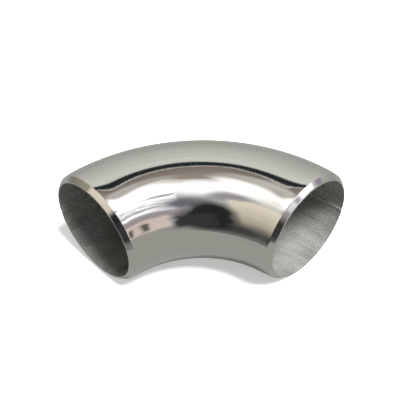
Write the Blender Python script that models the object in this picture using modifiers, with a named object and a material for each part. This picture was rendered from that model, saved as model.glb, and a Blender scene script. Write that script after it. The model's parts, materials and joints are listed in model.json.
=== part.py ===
"""Ninety degree butt-weld pipe elbow, DN 65 (2 1/2 inch), bent from seam-welded stainless tube.

The elbow lies on its side: the bend plane is level, one port faces -Y and the other +X.
Run it with: blender --background --python part.py
"""

import math

import bmesh
import bpy
from mathutils import Matrix, Vector

MM = 0.001

# Driving dimensions of the fitting.
OUTER_DIAMETER = 76.1 * MM
WALL = 4.0 * MM
BEND_RADIUS = 95.0 * MM  # of the centreline, and so the centre-to-end length of both ports
BEND_ANGLE = math.radians(90.0)

# Weld preparation: a chamfer round the outside of each end, down to a flat land.
LAND_WIDTH = 1.0 * MM
CHAMFER_ANGLE = math.radians(45.0)  # from the plane of the end

# The tube's own lengthways seam, near the outside of the bend and a little below its middle.
SEAM_POSITION = math.radians(-11.5)  # round the section, from the outside of the bend towards +Z
SEAM_CAP_WIDTH = 5.5 * MM
SEAM_ROOT_WIDTH = 2.2 * MM
SEAM_ROOT_HEIGHT = 0.4 * MM  # how far the root bead stands into the bore
FIT_GAP = 0.3 * MM  # left between the weld and each edge of the wall

# How finely the round shapes are drawn.
SECTION_STEPS = 64
BEND_STEPS = 24
ROOT_STEPS = 6
CUTTER_STEPS = 72

OUTER_RADIUS = OUTER_DIAMETER / 2
BORE_RADIUS = OUTER_RADIUS - WALL
LAND_RADIUS = BORE_RADIUS + LAND_WIDTH
CHAMFER_DEPTH = (OUTER_RADIUS - LAND_RADIUS) * math.tan(CHAMFER_ANGLE)

# The outside of the bend is widest just behind a chamfer. The origin is under the middle of the box.
OVERALL = math.sqrt((BEND_RADIUS + OUTER_RADIUS) ** 2 - CHAMFER_DEPTH**2)
BEND_CENTRE = Vector((OVERALL / 2, -OVERALL / 2, OUTER_RADIUS))

PARTS_NAME = "pipe_elbow"
CUTTERS_NAME = "cutters"


def clear_scene():
    for thing in list(bpy.data.objects):
        bpy.data.objects.remove(thing, do_unlink=True)


def new_collection(name):
    collection = bpy.data.collections.new(name)
    bpy.context.scene.collection.children.link(collection)
    return collection


def metal(name, colour, roughness):
    """A bare metal finish."""
    material = bpy.data.materials.new(name)
    material.use_nodes = True
    shader = material.node_tree.nodes["Principled BSDF"]
    shader.inputs["Base Color"].default_value = (*colour, 1.0)
    shader.inputs["Metallic"].default_value = 1.0
    shader.inputs["Roughness"].default_value = roughness
    return material


def section_point(radius, angle):
    """A point of the tube's section at the +Y end of the bend, seen from the bend's centre.

    The angle runs round the section from the outside of the bend towards +Z.
    """
    return Vector((0.0, BEND_RADIUS + radius * math.cos(angle), radius * math.sin(angle)))


def arc_points(radius, start, end):
    """Points on a circle about the tube's centreline: both ends, and every regular step between."""
    step = 2 * math.pi / SECTION_STEPS
    angles = [start]
    for i in range(math.ceil(start / step), math.floor(end / step) + 1):
        angles.append(i * step)
    angles.append(end)
    return [section_point(radius, angle) for angle in angles]


def wall_outline():
    """A ring left open by the seam's V-shaped groove, wide outside and narrow at the bore."""
    cap = SEAM_CAP_WIDTH / 2 / OUTER_RADIUS
    root = SEAM_ROOT_WIDTH / 2 / BORE_RADIUS
    once_round = SEAM_POSITION + 2 * math.pi
    outside = arc_points(OUTER_RADIUS, SEAM_POSITION + cap, once_round - cap)
    inside = arc_points(BORE_RADIUS, SEAM_POSITION + root, once_round - root)
    return outside + inside[::-1]


def weld_outline():
    """The weld that fills the groove: ground flush outside, with a low round root in the bore."""
    cap = (SEAM_CAP_WIDTH / 2 - FIT_GAP) / OUTER_RADIUS
    root = (SEAM_ROOT_WIDTH / 2 - FIT_GAP) / BORE_RADIUS
    points = arc_points(OUTER_RADIUS, SEAM_POSITION - cap, SEAM_POSITION + cap)
    for i in range(ROOT_STEPS + 1):
        turn = math.pi * i / ROOT_STEPS
        radius = BORE_RADIUS - SEAM_ROOT_HEIGHT * math.sin(turn)
        points.append(section_point(radius, SEAM_POSITION + root * math.cos(turn)))
    return points


def sweep_round_bend(name, outline, material, collection):
    """Spin a closed section round the bend's axis, from the +X port to the -Y port."""
    shape = bmesh.new()
    corners = [shape.verts.new(point) for point in outline]
    face = shape.faces.new(corners)
    bmesh.ops.spin(
        shape,
        geom=[face, *face.edges, *face.verts],
        cent=(0.0, 0.0, 0.0),
        axis=(0.0, 0.0, 1.0),
        angle=BEND_ANGLE,
        steps=BEND_STEPS,
    )
    bmesh.ops.recalc_face_normals(shape, faces=shape.faces)
    mesh = bpy.data.meshes.new(name)
    shape.to_mesh(mesh)
    shape.free()
    mesh.materials.append(material)
    piece = bpy.data.objects.new(name, mesh)
    piece.location = BEND_CENTRE
    collection.objects.link(piece)
    return piece


def chamfer_cutter(name, centre, outward, collection):
    """A turned ring that takes everything outside the chamfer's cone off one end."""
    overlap = 1.0 * MM
    reach = CHAMFER_DEPTH + 2.0 * MM
    spread = 1.0 / math.tan(CHAMFER_ANGLE)
    tip_radius = LAND_RADIUS - overlap * spread
    rim_radius = LAND_RADIUS + reach * spread
    mesh = bpy.data.meshes.new(name)
    corners = [(rim_radius, 0.0, overlap), (rim_radius, 0.0, -reach), (tip_radius, 0.0, overlap)]
    mesh.from_pydata(corners, [(0, 1), (1, 2), (2, 0)], [])
    cutter = bpy.data.objects.new(name, mesh)
    turn = cutter.modifiers.new("turned", "SCREW")
    turn.axis = "Z"
    turn.steps = CUTTER_STEPS
    turn.render_steps = CUTTER_STEPS
    turn.use_merge_vertices = True
    turn.merge_threshold = 0.00001
    cutter.location = centre
    cutter.rotation_euler = outward.to_track_quat("Z", "Y").to_euler()
    cutter.hide_render = True
    cutter.display_type = "WIRE"
    collection.objects.link(cutter)
    return cutter


def cut(piece, cutter):
    modifier = piece.modifiers.new(f"cut_by_{cutter.name}", "BOOLEAN")
    modifier.operation = "DIFFERENCE"
    modifier.solver = "EXACT"
    modifier.object = cutter


def shade_round(piece):
    """Smooth round the tube, crisp at the land, the chamfer and the groove."""
    mesh = piece.data
    mesh.shade_smooth()
    mesh.set_sharp_from_angle(angle=math.radians(30.0))


def build():
    clear_scene()
    parts = new_collection(PARTS_NAME)
    cutters = new_collection(CUTTERS_NAME)

    polished = metal("polished_stainless", (0.62, 0.61, 0.59), 0.06)
    weld_metal = metal("stainless_weld_metal", (0.58, 0.57, 0.55), 0.30)
    wall = sweep_round_bend("elbow_tube", wall_outline(), polished, parts)
    weld = sweep_round_bend("seam_weld", weld_outline(), weld_metal, parts)

    start = Vector((0.0, BEND_RADIUS, 0.0))
    end = Matrix.Rotation(BEND_ANGLE, 3, "Z") @ start
    ports = {
        "port_b_chamfer": (BEND_CENTRE + start, Vector((1.0, 0.0, 0.0))),
        "port_a_chamfer": (BEND_CENTRE + end, Vector((0.0, -1.0, 0.0))),
    }
    for name, (centre, outward) in ports.items():
        cutter = chamfer_cutter(name, centre, outward, cutters)
        for piece in (wall, weld):
            cut(piece, cutter)
    for piece in (wall, weld):
        shade_round(piece)


build()
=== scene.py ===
import json
import math

import bpy
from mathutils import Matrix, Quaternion, Vector


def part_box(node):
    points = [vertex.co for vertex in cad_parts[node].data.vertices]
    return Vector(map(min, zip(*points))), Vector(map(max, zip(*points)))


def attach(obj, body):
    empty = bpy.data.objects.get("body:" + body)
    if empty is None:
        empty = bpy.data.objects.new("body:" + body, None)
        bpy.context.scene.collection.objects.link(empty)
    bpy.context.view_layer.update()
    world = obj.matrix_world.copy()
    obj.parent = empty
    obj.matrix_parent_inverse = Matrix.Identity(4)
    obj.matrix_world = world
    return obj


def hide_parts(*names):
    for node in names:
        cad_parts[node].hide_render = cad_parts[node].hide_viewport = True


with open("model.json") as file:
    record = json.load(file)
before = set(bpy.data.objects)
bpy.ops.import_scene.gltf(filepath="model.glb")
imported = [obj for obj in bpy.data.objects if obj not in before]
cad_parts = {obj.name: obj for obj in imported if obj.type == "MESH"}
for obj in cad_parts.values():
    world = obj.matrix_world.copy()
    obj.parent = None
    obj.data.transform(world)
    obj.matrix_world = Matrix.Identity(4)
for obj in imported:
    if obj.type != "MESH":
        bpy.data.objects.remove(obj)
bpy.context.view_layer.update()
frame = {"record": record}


# ---------------------------------------------------------------------------------------
# The view. The elbow lies on its side on a bench, and is looked down on from in front of
# the bend's inside, so that both mouths show.
tube_low, tube_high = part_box("elbow_tube")
mounts = {mount["name"]: mount for mount in frame["record"]["mounts"]}
OUTER_RADIUS = (tube_high.z - tube_low.z) / 2
BEND_CENTRE = Vector((tube_high.x, tube_low.y, (tube_low.z + tube_high.z) / 2))
BEND_RADIUS = mounts["port_b_face"]["pos_m"][1] - BEND_CENTRE.y
HALF_BEND = math.radians(45)

view_azimuth = math.radians(46.5)
view_elevation = math.radians(45.8)
view_distance = 0.4517
view_roll = math.radians(-1.48)
aim = BEND_CENTRE + Vector((-math.sin(HALF_BEND), math.cos(HALF_BEND), 0)) * BEND_RADIUS * 0.8
back = Vector((
    math.sin(view_azimuth) * math.cos(view_elevation),
    -math.cos(view_azimuth) * math.cos(view_elevation),
    math.sin(view_elevation),
))
camera = bpy.data.objects.new("camera", bpy.data.cameras.new("camera"))
camera.data.lens = 64.7
camera.data.shift_x = -0.0021
camera.data.shift_y = 0.0502
camera.location = aim + back * view_distance
camera.rotation_mode = "QUATERNION"
straight = (-back).to_track_quat("-Z", "Y")
camera.rotation_quaternion = straight @ Quaternion((0, 0, 1), view_roll)
bpy.context.scene.collection.objects.link(camera)
bpy.context.scene.camera = camera
bpy.context.scene.view_settings.view_transform = "Standard"


# ---------------------------------------------------------------------------------------
# The elbow's tube. Strip is rolled round, welded along its edges and pushed round a bend,
# its ends are turned square with a weld chamfer, and the outside is polished on a belt,
# which rounds the tube off a little towards each end.
WALL = 0.0040
LAND = 0.0007
CHAMFER_DEPTH = 0.0031
ROLL_OFF = 0.0007  # how much the belt takes off at the chamfer's shoulder
ROLL_OFF_LENGTH = 0.0035  # how quickly that fades along the tube
SEAM_POSITION = math.radians(-11.5)
SEAM_CAP_WIDTH = 0.0055
SEAM_ROOT_WIDTH = 0.0022
RUN_STEPS = 140
ROUND_STEPS = 192
WALL_STEPS = 9
LAND_STEPS = 3
SHOULDER_ROUNDING = 0.00012
NEARLY_ONE = 0.9999  # picks out the last row of the block, where a place is exactly 1


class Field:
    """A value inside a node tree that can be reckoned with: each operation adds a Math node."""

    def __init__(self, tree, socket):
        self.tree = tree
        self.socket = socket

    def math(self, operation, *others):
        node = self.tree.nodes.new("ShaderNodeMath")
        node.operation = operation
        for slot, value in zip(node.inputs, (self, *others)):
            if isinstance(value, Field):
                self.tree.links.new(value.socket, slot)
            else:
                slot.default_value = value
        return Field(self.tree, node.outputs[0])

    def __add__(self, other):
        return self.math("ADD", other)

    def __sub__(self, other):
        return self.math("SUBTRACT", other)

    def __mul__(self, other):
        return self.math("MULTIPLY", other)

    def __truediv__(self, other):
        return self.math("DIVIDE", other)

    def part(self, start, end):
        """How far this value has come from start to end, between 0 and 1."""
        node = self.tree.nodes.new("ShaderNodeMapRange")
        self.tree.links.new(self.socket, node.inputs["Value"])
        node.inputs["From Min"].default_value = start
        node.inputs["From Max"].default_value = end
        return Field(self.tree, node.outputs[0])


def new_tree(name, sizes):
    """A Geometry Nodes tree, its inputs by name and the group input node."""
    tree = bpy.data.node_groups.new(name, "GeometryNodeTree")
    tree.interface.new_socket("Geometry", in_out="OUTPUT", socket_type="NodeSocketGeometry")
    for label, value in sizes.items():
        kind = "NodeSocketInt" if isinstance(value, int) else "NodeSocketFloat"
        if isinstance(value, bpy.types.Material):
            kind = "NodeSocketMaterial"
        tree.interface.new_socket(label, in_out="INPUT", socket_type=kind)
    given = tree.nodes.new("NodeGroupInput")
    return tree, {label: Field(tree, given.outputs[label]) for label in sizes}


def link(tree, source, slot):
    tree.links.new(source.socket if isinstance(source, Field) else source, slot)


def store(tree, mesh, name, value, kind="FLOAT", domain="POINT"):
    """Keeps a value on the mesh under a name, for materials and later nodes."""
    node = tree.nodes.new("GeometryNodeStoreNamedAttribute")
    node.data_type = kind
    node.domain = domain
    node.inputs["Name"].default_value = name
    link(tree, mesh, node.inputs["Geometry"])
    link(tree, value, node.inputs["Value"])
    return node.outputs["Geometry"]


def stored(tree, name):
    node = tree.nodes.new("GeometryNodeInputNamedAttribute")
    node.data_type = "FLOAT"
    node.inputs["Name"].default_value = name
    return Field(tree, node.outputs["Attribute"])


def wall_block(tree, steps_run, steps_round, steps_wall):
    """A block of steps that is then bent to shape: x along the bend, y round it, z through the wall."""
    block = tree.nodes.new("GeometryNodeMeshCube")
    for label, steps in (("X", steps_run), ("Y", steps_round), ("Z", steps_wall)):
        link(tree, steps + 1, block.inputs[f"Vertices {label}"])
    corner = tree.nodes.new("GeometryNodeInputPosition")
    split = tree.nodes.new("ShaderNodeSeparateXYZ")
    link(tree, corner.outputs[0], split.inputs[0])
    x, y, z = (Field(tree, out) for out in split.outputs)
    even = x * 2
    run = even * (even * even * -0.4 + 1.4)  # closer steps towards the two ends
    mesh = store(tree, block.outputs["Mesh"], "run", run)
    mesh = store(tree, mesh, "round", y + 0.5)
    return store(tree, mesh, "depth", z + 0.5)


def bend_block(tree, mesh, sizes, turn, bore_radius):
    """Carries the block round the bend. turn is the angle round the section, from the bend's outside."""
    run = stored(tree, "run")
    depth = stored(tree, "depth")
    land_step = LAND_STEPS / WALL_STEPS
    on_land = depth.part(0, land_step)
    on_chamfer = depth.part(land_step, 1)
    reach = turn.math("COSINE") * sizes["Outer Radius"] + sizes["Bend Radius"]
    from_end = (run.math("ABSOLUTE") * -1 + 1) * reach * HALF_BEND
    fade = (from_end / sizes["Roll-off Length"] * -1).math("EXPONENT")
    outer = sizes["Outer Radius"] - sizes["Roll-off"] * fade
    beyond_land = outer - bore_radius - sizes["Land"]
    radius = bore_radius + on_land * sizes["Land"] + on_chamfer * beyond_land
    arm = turn.math("COSINE") * radius + sizes["Bend Radius"]
    end_angle = (on_chamfer * sizes["Chamfer Depth"] / arm).math("ARCSINE") * -1 + HALF_BEND
    angle = run * end_angle - HALF_BEND
    place = tree.nodes.new("ShaderNodeCombineXYZ")
    link(tree, angle.math("SINE") * arm + BEND_CENTRE.x, place.inputs[0])
    link(tree, angle.math("COSINE") * arm + BEND_CENTRE.y, place.inputs[1])
    link(tree, turn.math("SINE") * radius + BEND_CENTRE.z, place.inputs[2])
    chart = tree.nodes.new("ShaderNodeCombineXYZ")
    link(tree, turn * OUTER_RADIUS, chart.inputs[0])
    link(tree, angle * BEND_RADIUS, chart.inputs[1])
    mesh = store(tree, mesh, "chart", chart.outputs[0], "FLOAT2", "CORNER")
    move = tree.nodes.new("GeometryNodeSetPosition")
    link(tree, mesh, move.inputs["Geometry"])
    link(tree, place.outputs[0], move.inputs["Position"])
    return move.outputs["Geometry"]


def mark_edges(tree, mesh):
    """Marks the rings of edges at both mouths that a light rounding takes: shoulder, land and bore rim."""
    at_end = stored(tree, "run").math("ABSOLUTE").math("GREATER_THAN", NEARLY_ONE)
    depth = stored(tree, "depth")
    from_land = (depth - LAND_STEPS / WALL_STEPS).math("ABSOLUTE")
    ring = depth.math("LESS_THAN", 1 - NEARLY_ONE) + depth.math("GREATER_THAN", NEARLY_ONE)
    ring = ring + from_land.math("LESS_THAN", 1 - NEARLY_ONE)
    return store(tree, mesh, "bevel_weight_edge", at_end * ring, "FLOAT", "EDGE")


def finish_tree(tree, mesh, sizes):
    """Smooth shading and the finishes: polished outside, machined ends, pickled bore."""
    smooth = tree.nodes.new("GeometryNodeSetShadeSmooth")
    link(tree, mesh, smooth.inputs["Geometry"])
    real = tree.nodes.new("GeometryNodeRealizeInstances")
    link(tree, smooth.outputs[0], real.inputs[0])
    mesh = real.outputs[0]
    depth = stored(tree, "depth")
    to_end = stored(tree, "run").math("ABSOLUTE")
    where = {
        "Bore Finish": depth.math("LESS_THAN", 2),  # everywhere, until the next two go over it
        "End Finish": to_end.math("GREATER_THAN", NEARLY_ONE),
        "Outside Finish": depth.math("GREATER_THAN", NEARLY_ONE),
    }
    for label, chosen in where.items():
        paint = tree.nodes.new("GeometryNodeSetMaterial")
        link(tree, mesh, paint.inputs["Geometry"])
        link(tree, chosen, paint.inputs["Selection"])
        link(tree, sizes[label], paint.inputs["Material"])
        mesh = paint.outputs[0]
    out = tree.nodes.new("NodeGroupOutput")
    link(tree, mesh, out.inputs[0])


def made_plain(name, tree, sizes):
    """Runs a tree on an empty object and returns its result as a plain mesh object."""
    maker = bpy.data.objects.new(name + "_maker", bpy.data.meshes.new(name + "_maker"))
    bpy.context.scene.collection.objects.link(maker)
    modifier = maker.modifiers.new("shape", "NODES")
    modifier.node_group = tree
    for item in tree.interface.items_tree:
        if item.in_out == "INPUT":
            modifier[item.identifier] = sizes[item.name]
    rounded = maker.modifiers.new("edges", "BEVEL")
    rounded.limit_method = "WEIGHT"
    rounded.offset_type = "WIDTH"
    rounded.width = SHOULDER_ROUNDING
    rounded.segments = 2
    mesh = bpy.data.meshes.new_from_object(maker.evaluated_get(bpy.context.evaluated_depsgraph_get()))
    bpy.data.objects.remove(maker)
    mesh.set_sharp_from_angle(angle=math.radians(30))
    piece = bpy.data.objects.new(name, mesh)
    bpy.context.scene.collection.objects.link(piece)
    return piece


def steel(name, colour, anisotropy=0.0):
    """A bare steel finish, and its place on the tube: across it and along the bend, in metres."""
    material = bpy.data.materials.new(name)
    material.use_nodes = True
    tree = material.node_tree
    shader = tree.nodes["Principled BSDF"]
    shader.inputs["Base Color"].default_value = (*colour, 1)
    shader.inputs["Metallic"].default_value = 1
    shader.inputs["Anisotropic"].default_value = anisotropy
    tangent = tree.nodes.new("ShaderNodeTangent")
    tangent.direction_type = "UV_MAP"
    tangent.uv_map = "chart"
    tree.links.new(tangent.outputs[0], shader.inputs["Tangent"])
    chart = tree.nodes.new("ShaderNodeUVMap")
    chart.uv_map = "chart"
    split = tree.nodes.new("ShaderNodeSeparateXYZ")
    tree.links.new(chart.outputs[0], split.inputs[0])
    across, along = Field(tree, split.outputs[0]), Field(tree, split.outputs[1])
    return material, tree, shader, across, along


def grain(across, along, width, length, detail):
    """Noise whose spots are about as wide across the tube and as long along it as it is told."""
    tree = across.tree
    place = tree.nodes.new("ShaderNodeCombineXYZ")
    link(tree, across / width, place.inputs[0])
    link(tree, along / length, place.inputs[1])
    noise = tree.nodes.new("ShaderNodeTexNoise")
    noise.noise_dimensions = "2D"
    noise.inputs["Scale"].default_value = 1
    noise.inputs["Detail"].default_value = detail
    link(tree, place.outputs[0], noise.inputs["Vector"])
    return Field(tree, noise.outputs[0])


def relief(height, depth, under=None):
    """A bump of this height field, depth metres from its lowest to its highest."""
    tree = height.tree
    bump = tree.nodes.new("ShaderNodeBump")
    bump.inputs["Distance"].default_value = depth
    link(tree, height, bump.inputs["Height"])
    if under is not None:
        tree.links.new(under, bump.inputs["Normal"])
    return bump.outputs[0]


def shade(value, dark, light):
    """A colour between two, by a value from 0 to 1."""
    tree = value.tree
    mix = tree.nodes.new("ShaderNodeMix")
    mix.data_type = "RGBA"
    link(tree, value, mix.inputs["Factor"])
    mix.inputs["A"].default_value = (*dark, 1)
    mix.inputs["B"].default_value = (*light, 1)
    return mix.outputs["Result"]


# Belt-polished outside: fine lines along the bend, a few coarser ones, and the belt's slow waves.
polished, tree, shader, across, along = steel("polished_outside", (0.60, 0.59, 0.57), 0.55)
belt_lines = grain(across, along, 0.0005, 0.03, 3.0)
coarse_lines = grain(across, along, 0.0022, 0.06, 2.0)
flecks = grain(across, along, 0.0006, 0.0011, 1.0)
waves = grain(across, along, 0.016, 0.030, 0.0)
link(tree, shade(coarse_lines.part(0.3, 0.7), (0.58, 0.57, 0.55), (0.62, 0.61, 0.59)),
     shader.inputs["Base Color"])
link(tree, belt_lines * 0.04 + flecks.part(0.45, 0.8) * 0.06 + 0.030, shader.inputs["Roughness"])
bumps = relief(waves, 0.00016)
bumps = relief(coarse_lines, 0.0000035, bumps)
bumps = relief(belt_lines * 0.5 + flecks, 0.0000035, bumps)
link(tree, bumps, shader.inputs["Normal"])

# Machined ends: fine turned rings round the chamfer and the land.
machined, tree, shader, across, along = steel("machined_ends", (0.60, 0.59, 0.57), 0.4)
wall_depth = tree.nodes.new("ShaderNodeAttribute")
wall_depth.attribute_name = "depth"
through = Field(tree, wall_depth.outputs["Fac"])
turned_rings = grain(across, through, 0.12, 0.035, 2.0)
chatter = grain(across, through, 0.0012, 0.6, 1.0)
shader.inputs["Anisotropic Rotation"].default_value = 0.25
link(tree, turned_rings * 0.05 + chatter * 0.02 + 0.04, shader.inputs["Roughness"])
bumps = relief(turned_rings, 0.0000020)
bumps = relief(chatter, 0.0000030, bumps)
link(tree, bumps, shader.inputs["Normal"])

# Pickled bore: dull, finely pitted steel that scatters about half of its light, with drag marks
# along it from the bending mandrel.
pickled, tree, shader, across, along = steel("pickled_bore", (0.46, 0.46, 0.44))
shader.inputs["Metallic"].default_value = 0.55
pits = grain(across, along, 0.0009, 0.0011, 3.0)
streaks = grain(across, along, 0.0006, 0.022, 2.0)
clouds = grain(across, along, 0.014, 0.020, 2.0)
drag_marks = grain(across, along, 0.0022, 0.50, 0.0).part(0.74, 0.80)
tone = pits.part(0.3, 0.7) * 0.45 + streaks.part(0.3, 0.7) * 0.25 + clouds.part(0.3, 0.7) * 0.3
tone = tone - drag_marks * 0.12
link(tree, shade(tone, (0.065, 0.067, 0.062), (0.25, 0.254, 0.24)), shader.inputs["Base Color"])
link(tree, streaks * -0.12 + pits * 0.1 + 0.55, shader.inputs["Roughness"])
bumps = relief(streaks, 0.000010)
bumps = relief(pits, 0.000070, bumps)
bumps = relief(drag_marks, -0.00002, bumps)
link(tree, bumps, shader.inputs["Normal"])

tube_sizes = {
    "Bend Radius": BEND_RADIUS,
    "Outer Radius": OUTER_RADIUS,
    "Bore Radius": OUTER_RADIUS - WALL,
    "Land": LAND,
    "Chamfer Depth": CHAMFER_DEPTH,
    "Roll-off": ROLL_OFF,
    "Roll-off Length": ROLL_OFF_LENGTH,
    "Seam Position": SEAM_POSITION,
    "Half Cap Angle": SEAM_CAP_WIDTH / 2 / OUTER_RADIUS,
    "Half Root Angle": SEAM_ROOT_WIDTH / 2 / (OUTER_RADIUS - WALL),
    "Run Steps": RUN_STEPS,
    "Round Steps": ROUND_STEPS,
    "Wall Steps": WALL_STEPS,
    "Outside Finish": polished,
    "End Finish": machined,
    "Bore Finish": pickled,
}
tree, given = new_tree("elbow_tube_shape", tube_sizes)
mesh = wall_block(tree, given["Run Steps"], given["Round Steps"], given["Wall Steps"])
groove = given["Half Cap Angle"] - given["Half Root Angle"]
groove = groove * stored(tree, "depth") + given["Half Root Angle"]
turn = (groove * -2 + 2 * math.pi) * (stored(tree, "round") * -1 + 1) + groove + given["Seam Position"]
mesh = bend_block(tree, mesh, given, turn, given["Bore Radius"])
mesh = mark_edges(tree, mesh)
finish_tree(tree, mesh, given)
tube = made_plain("elbow_tube_wall", tree, tube_sizes)
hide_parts("elbow_tube")
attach(tube, "root")


# ---------------------------------------------------------------------------------------
# The seam weld that closes the tube. Fused weld metal fills the groove between the strip's
# edges: ground and polished flush outside, with a low rounded root bead left in the bore.
ROOT_HEIGHT = 0.0004
ACROSS_STEPS = 12

# Ground cap: like the polished outside, with finer and shorter lines.
ground_flush, tree, shader, across, along = steel("ground_flush_cap", (0.59, 0.58, 0.56), 0.5)
belt_lines = grain(across, along, 0.0004, 0.02, 3.0)
flecks = grain(across, along, 0.0005, 0.0008, 1.0)
link(tree, belt_lines * 0.05 + flecks.part(0.45, 0.8) * 0.06 + 0.03, shader.inputs["Roughness"])
link(tree, relief(belt_lines + flecks, 0.000004), shader.inputs["Normal"])

# Root bead: satin, with the ripples that each puddle of weld metal leaves as it sets.
root_finish, tree, shader, across, along = steel("weld_root", (0.50, 0.495, 0.47))
shader.inputs["Metallic"].default_value = 0.6
puddles = grain(across, along, 0.0040, 0.0011, 1.0)
scale = grain(across, along, 0.0006, 0.0012, 3.0)
link(tree, shade(scale, (0.12, 0.121, 0.113), (0.34, 0.342, 0.325)), shader.inputs["Base Color"])
link(tree, scale * 0.15 + 0.24, shader.inputs["Roughness"])
bumps = relief(puddles, 0.00025)
bumps = relief(scale, 0.00003, bumps)
link(tree, bumps, shader.inputs["Normal"])

weld_sizes = dict(tube_sizes)
weld_sizes["Outside Finish"] = ground_flush
weld_sizes["Bore Finish"] = root_finish
weld_sizes["Round Steps"] = ACROSS_STEPS
weld_sizes["Root Height"] = ROOT_HEIGHT
tree, given = new_tree("seam_weld_shape", weld_sizes)
mesh = wall_block(tree, given["Run Steps"], given["Round Steps"], given["Wall Steps"])
groove = given["Half Cap Angle"] - given["Half Root Angle"]
groove = groove * stored(tree, "depth") + given["Half Root Angle"]
across = stored(tree, "round") * -2 + 1
turn = across * groove + given["Seam Position"]
bead = (across * across * -1 + 1).math("MAXIMUM", 0).math("SQRT")
mesh = bend_block(tree, mesh, given, turn, given["Bore Radius"] - bead * given["Root Height"])
mesh = mark_edges(tree, mesh)
finish_tree(tree, mesh, given)
weld = made_plain("seam_weld_bead", tree, weld_sizes)
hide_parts("seam_weld")
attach(weld, "root")


# ---------------------------------------------------------------------------------------
# The bench that the elbow lies on: a plain pale floor for the eye, and a grey mat that only
# reflections show. Both glow a little of themselves: the floor so that the shadow stays faint,
# the mat so that its reflection stays grey in the elbow's shade.
FLOOR_LEVEL = -0.0002  # just under the steel, so that the two never share a plane


def stage_plane(name, low, high, height, colour, fill):
    mesh = bpy.data.meshes.new(name)
    corners = [(low[0], low[1], height), (high[0], low[1], height),
               (high[0], high[1], height), (low[0], high[1], height)]
    mesh.from_pydata(corners, [], [(0, 1, 2, 3)])
    plane = bpy.data.objects.new(name, mesh)
    bpy.context.scene.collection.objects.link(plane)
    material = bpy.data.materials.new(name)
    material.use_nodes = True
    shader = material.node_tree.nodes["Principled BSDF"]
    shader.inputs["Base Color"].default_value = (*colour, 1)
    shader.inputs["Roughness"].default_value = 0.9
    shader.inputs["Specular IOR Level"].default_value = 0.0
    shader.inputs["Emission Color"].default_value = (*colour, 1)
    shader.inputs["Emission Strength"].default_value = fill
    mesh.materials.append(material)
    return plane


floor = stage_plane("floor", (-20, -20), (20, 20), FLOOR_LEVEL, (0.33, 0.33, 0.33), 1.3)
floor.visible_glossy = False
mat = stage_plane("bench_mat", (-0.6, -0.13), (0.7, 0.6), 0.0, (0.049, 0.0498, 0.0465), 3.6)
mat.visible_camera = False
mat.visible_diffuse = False
mat.visible_shadow = False


# ---------------------------------------------------------------------------------------
# A soft lamp, high to the right, that shines down into the right mouth and on to the floor of
# its bore. Reflections do not show it.
LAMP_TURN = math.radians(5)
LAMP_RISE = math.radians(65)

lamp_data = bpy.data.lights.new("bore_lamp", "SUN")
lamp_data.energy = 19.0
lamp_data.angle = math.radians(20)
lamp = bpy.data.objects.new("bore_lamp", lamp_data)
lamp.rotation_euler = (math.pi / 2 - LAMP_RISE, 0, math.pi / 2 + LAMP_TURN)
lamp.visible_glossy = False
bpy.context.scene.collection.objects.link(lamp)


# ---------------------------------------------------------------------------------------
# The studio round the bench, as soft-edged areas of light and dark: directions are degrees
# round from the side that the mouths face (to the right is positive) and degrees up.
DEGREE = math.degrees(1)
SWAY_ROUND = 14  # degrees that the areas' edges wander, round and up, as if nothing hung quite straight
SWAY_UP = 5
world = bpy.data.worlds.new("studio")
bpy.context.scene.world = world
world.use_nodes = True
studio = world.node_tree
studio.nodes.clear()
place = studio.nodes.new("ShaderNodeTexCoord")
turned = studio.nodes.new("ShaderNodeVectorRotate")
turned.rotation_type = "Z_AXIS"
turned.inputs["Angle"].default_value = -HALF_BEND
studio.links.new(place.outputs["Generated"], turned.inputs["Vector"])
split = studio.nodes.new("ShaderNodeSeparateXYZ")
studio.links.new(turned.outputs[0], split.inputs[0])
to_right, to_back, upward = (Field(studio, out) for out in split.outputs)
unevenness = studio.nodes.new("ShaderNodeTexNoise")
unevenness.inputs["Scale"].default_value = 3.5
unevenness.inputs["Detail"].default_value = 1.0
studio.links.new(turned.outputs[0], unevenness.inputs["Vector"])
uneven = Field(studio, unevenness.outputs[0]) - 0.5
round_from_front = to_right.math("ARCTAN2", to_back * -1) * DEGREE + uneven * SWAY_ROUND
up = upward.math("MAXIMUM", -1).math("MINIMUM", 1).math("ARCSINE") * DEGREE + uneven * SWAY_UP


def off(middle):
    """How far a direction is round from this one, in degrees, to either side."""
    return ((round_from_front - (middle - 540)).math("MODULO", 360) - 180).math("ABSOLUTE")


def lay(under, mask, colour):
    """Puts a colour over what is there, where the mask is."""
    mix = studio.nodes.new("ShaderNodeMix")
    mix.data_type = "RGBA"
    studio.links.new(mask.socket, mix.inputs["Factor"])
    for slot, value in (("A", under), ("B", colour)):
        if isinstance(value, tuple):
            mix.inputs[slot].default_value = (*value, 1)
        else:
            studio.links.new(value, mix.inputs[slot])
    return mix.outputs["Result"]


def panel(under, middle, half_width, low, high, low_colour, high_colour=None, *, soft):
    """A soft-edged panel that is half_width degrees to each side, from low to high degrees up."""
    colour = low_colour
    if high_colour is not None:
        colour = lay(low_colour, up.part(low, high), high_colour)
    side = off(middle).part(half_width + soft, half_width - soft)
    rise = up.part(low - soft, low + soft) * up.part(high + soft, high - soft)
    return lay(under, side * rise, colour)


def blob(under, middle, half_width, level, half_height, colour, *, soft):
    """A soft-edged round shape."""
    wide = off(middle) / half_width
    tall = (up - level) / half_height
    reach = (wide * wide + tall * tall).math("SQRT")
    return lay(under, reach.part(1 + soft, 1 - soft), colour)


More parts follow.
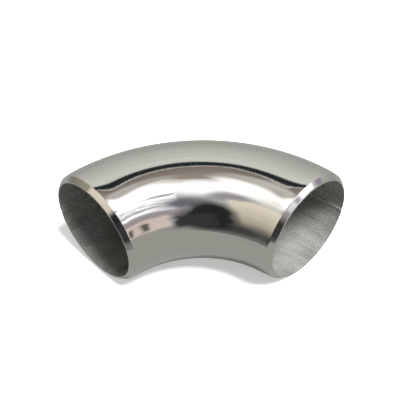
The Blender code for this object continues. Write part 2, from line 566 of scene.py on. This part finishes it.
# Backdrop paper all round, then the ceiling with the lamp's rail and the dark gap behind it.
sky = lay((0.30, 0.305, 0.285), up.part(-25, 58), (0.97, 0.98, 0.925))
sky = panel(sky, 0, 200, 67, 100, (0.26, 0.215, 0.185), (0.55, 0.47, 0.42), soft=0.6)
sky = panel(sky, 0, 140, 57, 67, (0.30, 0.25, 0.215), soft=2)
sky = panel(sky, 180, 85, 60.5, 69.5, (0.02, 0.027, 0.03), soft=1.2)
sky = panel(sky, 180, 40, 69.5, 71, (0.85, 0.82, 0.78), soft=0.5)
# The ceiling that is lit at both sides, the big ceiling light, stronger to the right, and the duller
# ceiling under it to the left.
sky = panel(sky, -112, 26, 64, 84, (0.80, 0.78, 0.75), soft=8)
sky = panel(sky, 112, 24, 64, 83, (0.74, 0.71, 0.68), soft=8)
sky = panel(sky, 8, 86, 58, 83, (0.95, 0.90, 0.87), soft=3)
sky = panel(sky, -64, 26, 57, 82, (2.0, 1.95, 1.9), soft=8)
sky = panel(sky, -22, 44, 58, 79, (1.75, 1.72, 1.76), soft=5)
sky = panel(sky, 56, 36, 57, 79, (1.35, 1.32, 1.32), soft=6)
sky = panel(sky, 54, 32, 60, 72, (3.6, 3.55, 3.6), soft=6)
sky = blob(sky, 0, 17, 56, 9, (1.8, 1.76, 1.82), soft=0.5)
sky = blob(sky, -31, 19, 50, 8, (0.50, 0.49, 0.54), soft=0.4)
# Warm wall to the left, duller further round.
sky = panel(sky, -105, 24, -4, 40, (0.25, 0.24, 0.20), (0.55, 0.50, 0.40), soft=8)
sky = panel(sky, -56, 30, -2, 46, (0.46, 0.41, 0.33), (1.25, 1.14, 0.95), soft=3)
# To the right: strip lights between shelves, a window with a lilac frame, and a warm wall low down
# with a dark green box against it.
slats = grain(round_from_front, up, 42, 4.5, 2.0).part(0.35, 0.50)
strips = lay((0.48, 0.46, 0.54), slats, (2.2, 2.2, 2.3))
sky = panel(sky, 50, 30, 29, 59, strips, soft=2)
sky = panel(sky, 76, 18, 33, 43, (2.8, 2.75, 2.8), soft=3)
sky = panel(sky, 84, 18, 42, 60, (3.0, 3.0, 3.0), soft=4)
sky = panel(sky, 104, 6, 17, 33, (0.42, 0.39, 0.48), soft=3)
sky = blob(sky, 14, 26, 40, 11, (0.23, 0.23, 0.27), soft=0.6)
sky = panel(sky, 45, 33, 18, 29, (0.50, 0.46, 0.48), soft=2)
sky = panel(sky, 43, 19, -2, 20, (0.98, 0.82, 0.76), soft=1.5)
sky = panel(sky, 49, 3, 1, 14, (0.16, 0.17, 0.14), soft=1.5)
sky = panel(sky, 68, 7, -2, 18, (0.40, 0.36, 0.32), soft=2)
# The dark edge of the bench, and a dark stand in front.
sky = blob(sky, -34, 36, -7, 12, (0.08, 0.08, 0.08), soft=0.6)
sky = blob(sky, -9, 25, 12, 26, (0.030, 0.030, 0.034), soft=0.2)
sky = panel(sky, 2, 18, -8, 17, (0.055, 0.058, 0.060), soft=3)

glow = studio.nodes.new("ShaderNodeBackground")
studio.links.new(sky, glow.inputs["Color"])
plain = studio.nodes.new("ShaderNodeBackground")
plain.inputs["Color"].default_value = (0.98, 0.98, 0.98, 1)
ray = studio.nodes.new("ShaderNodeLightPath")
choose = studio.nodes.new("ShaderNodeMixShader")
studio.links.new(ray.outputs["Is Camera Ray"], choose.inputs[0])
studio.links.new(glow.outputs[0], choose.inputs[1])
studio.links.new(plain.outputs[0], choose.inputs[2])
studio_out = studio.nodes.new("ShaderNodeOutputWorld")
studio.links.new(choose.outputs[0], studio_out.inputs[0])
